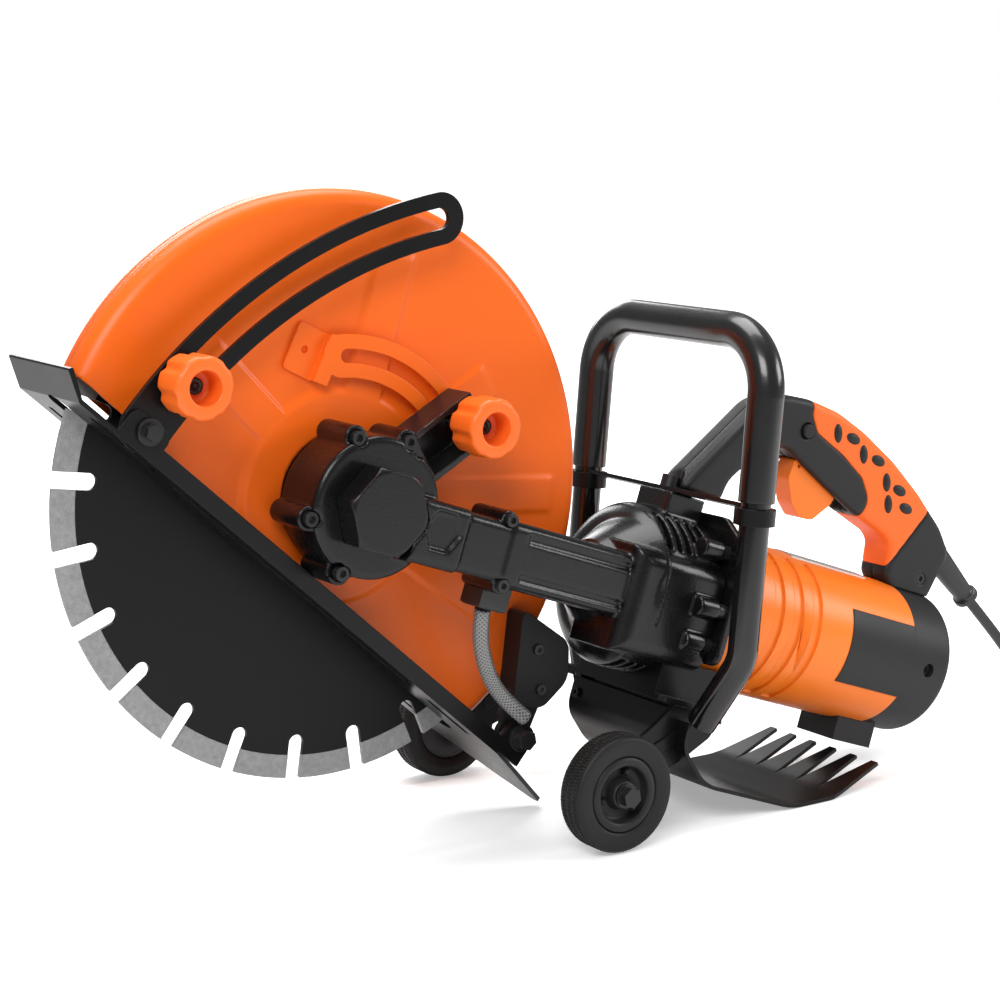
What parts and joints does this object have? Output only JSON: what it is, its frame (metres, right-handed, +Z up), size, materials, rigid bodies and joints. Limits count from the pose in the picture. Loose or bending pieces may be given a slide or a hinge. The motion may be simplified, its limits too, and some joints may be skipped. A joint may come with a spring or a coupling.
{
  "type": "electric concrete cut-off saw",
  "caption": "Hand-guided electric wet-cutting saw: segmented diamond blade under a round orange guard, gearbox arm, motor, rear grip, tube bail handle, base plate and wheels.",
  "frame": {"origin": "centre of the bounding box of everything but the cord, coil and plug, on the floor the wheels and skid stand on", "axes": "+X from the blade end to the rear grip, +Y away from the motor side, +Z up"},
  "size_m": [1.0381, 0.296, 0.4696],
  "materials": {
    "guard_paint": "satin orange enamel on pressed steel",
    "cast_paint": "glossy black enamel on cast alloy",
    "sheet_paint": "satin black enamel on steel sheet",
    "tube_paint": "high-gloss black enamel on steel tube",
    "motor_plastic": "glossy orange moulded plastic",
    "knob_plastic": "orange moulded plastic",
    "grip_rubber": "orange over-moulded soft grip",
    "dark_plastic": "dark grey moulded plastic",
    "black_rubber": "black rubber",
    "plate_metal": "plain silver plate",
    "blade_core_steel": "dark coated steel disc",
    "segment_grit": "grainy sintered diamond segments",
    "steel": "machined steel",
    "dark_screws": "blackened steel screws",
    "copper": "copper commutator bars and carbon brush holders",
    "fitting_plastic": "black moulded fitting",
    "hose_clear": "clear braided hose"
  },
  "bodies": {
    "saw": {"hub_housing": "cast_paint", "hub_cap": "cast_paint", "arm_casting": "cast_paint", "flange_plate": "cast_paint", "motor_housing": "motor_plastic", "motor_end_cap": "motor_plastic", "blank_plate": "plate_metal", "stator": "steel", "brush_gear": "copper", "ball_bearings": "steel", "case_screws": "dark_screws", "clamp_bracket": "sheet_paint", "bail_tube": "tube_paint", "bail_grip": "black_rubber", "cross_strap": "sheet_paint", "carrier_plate": "sheet_paint", "left_wheel_bracket": "sheet_paint", "right_wheel_bracket": "sheet_paint", "axle_bolts": "dark_screws", "toothed_skid": "sheet_paint", "handle_left_half": "dark_plastic", "handle_right_half": "dark_plastic", "grip_overmold": "grip_rubber", "switch_module": "dark_plastic", "water_fitting": "fitting_plastic", "water_hose": "hose_clear", "strain_relief": "black_rubber", "power_cord": "black_rubber", "cord_coil": "black_rubber", "mains_plug": "dark_plastic"},
    "spindle": {"spindle_shaft": "steel", "ring_gear": "steel", "inner_flange": "steel", "outer_flange": "steel", "blade_bolt": "steel", "blade_core": "blade_core_steel", "blade_segments": "segment_grit"},
    "drive_shaft": {"arm_shaft": "steel", "reduction_gear": "steel"},
    "armature": {"motor_shaft": "steel", "armature_core": "steel", "commutator": "copper", "cooling_fan": "dark_plastic"},
    "guard": {"guard_left_shell": "guard_paint", "guard_right_shell": "guard_paint", "guard_arc_bracket": "sheet_paint", "rear_shroud": "sheet_paint", "shroud_screws": "dark_screws"},
    "base": {"base_plate": "sheet_paint", "depth_bar": "sheet_paint", "plate_bolts": "dark_screws"},
    "depth_clamp": {"depth_knob": "knob_plastic", "depth_stud": "steel"},
    "guard_clamp": {"guard_lock_knob": "knob_plastic", "guard_lock_stud": "steel"},
    "wheel_left": {"left_wheel": "black_rubber"},
    "wheel_right": {"right_wheel": "black_rubber"},
    "trigger_lever": {"trigger": "dark_plastic"},
    "lock_on_button": {"lock_button": "dark_plastic"}
  },
  "joints": [
    {"name": "blade_spin", "type": "hinge", "parent": "saw", "child": "spindle", "pos_m": [-0.1947, 0.0145, 0.25894], "axis": [0, 1, 0], "continuous": true},
    {"name": "drive_shaft_spin", "type": "hinge", "parent": "saw", "child": "drive_shaft", "pos_m": [-0.1022, -0.0595, 0.2204], "axis": [0.9461, 0, -0.3239], "continuous": true},
    {"name": "armature_spin", "type": "hinge", "parent": "saw", "child": "armature", "pos_m": [0.18163, -0.0305, 0.12322], "axis": [0.9461, 0, -0.3239], "continuous": true},
    {"name": "guard_swing", "type": "hinge", "parent": "saw", "child": "guard", "pos_m": [-0.1947, -0.0055, 0.25894], "axis": [0, 1, 0], "range_deg": [0, 30]},
    {"name": "base_swing", "type": "hinge", "parent": "guard", "child": "base", "pos_m": [-0.05803, -0.0235, 0.07157], "axis": [0, -1, 0], "range_deg": [0, 32]},
    {"name": "depth_clamp_turn", "type": "hinge", "parent": "guard", "child": "depth_clamp", "pos_m": [-0.32098, -0.0455, 0.34866], "axis": [0, 1, 0], "continuous": true},
    {"name": "guard_clamp_turn", "type": "hinge", "parent": "saw", "child": "guard_clamp", "pos_m": [-0.10949, -0.0615, 0.30735], "axis": [0, 1, 0], "continuous": true},
    {"name": "left_wheel_spin", "type": "hinge", "parent": "saw", "child": "wheel_left", "pos_m": [-0.02395, -0.1015, 0.04299], "axis": [0, 1, 0], "continuous": true},
    {"name": "right_wheel_spin", "type": "hinge", "parent": "saw", "child": "wheel_right", "pos_m": [-0.02395, 0.1255, 0.04299], "axis": [0, 1, 0], "continuous": true},
    {"name": "trigger_pull", "type": "hinge", "parent": "saw", "child": "trigger_lever", "pos_m": [0.1983, -0.0305, 0.24911], "axis": [0, -1, 0], "range_deg": [0, 8], "stiffness_Nm_per_rad": 0.8},
    {"name": "lock_button_press", "type": "slide", "parent": "saw", "child": "lock_on_button", "axis": [0, 1, 0], "range_m": [0, 0.003], "stiffness_N_per_m": 400}
  ],
  "couplings": [
    {"joint": "drive_shaft_spin", "follows": "blade_spin", "ratio": -2.7273},
    {"joint": "armature_spin", "follows": "blade_spin", "ratio": 10.303}
  ]
}
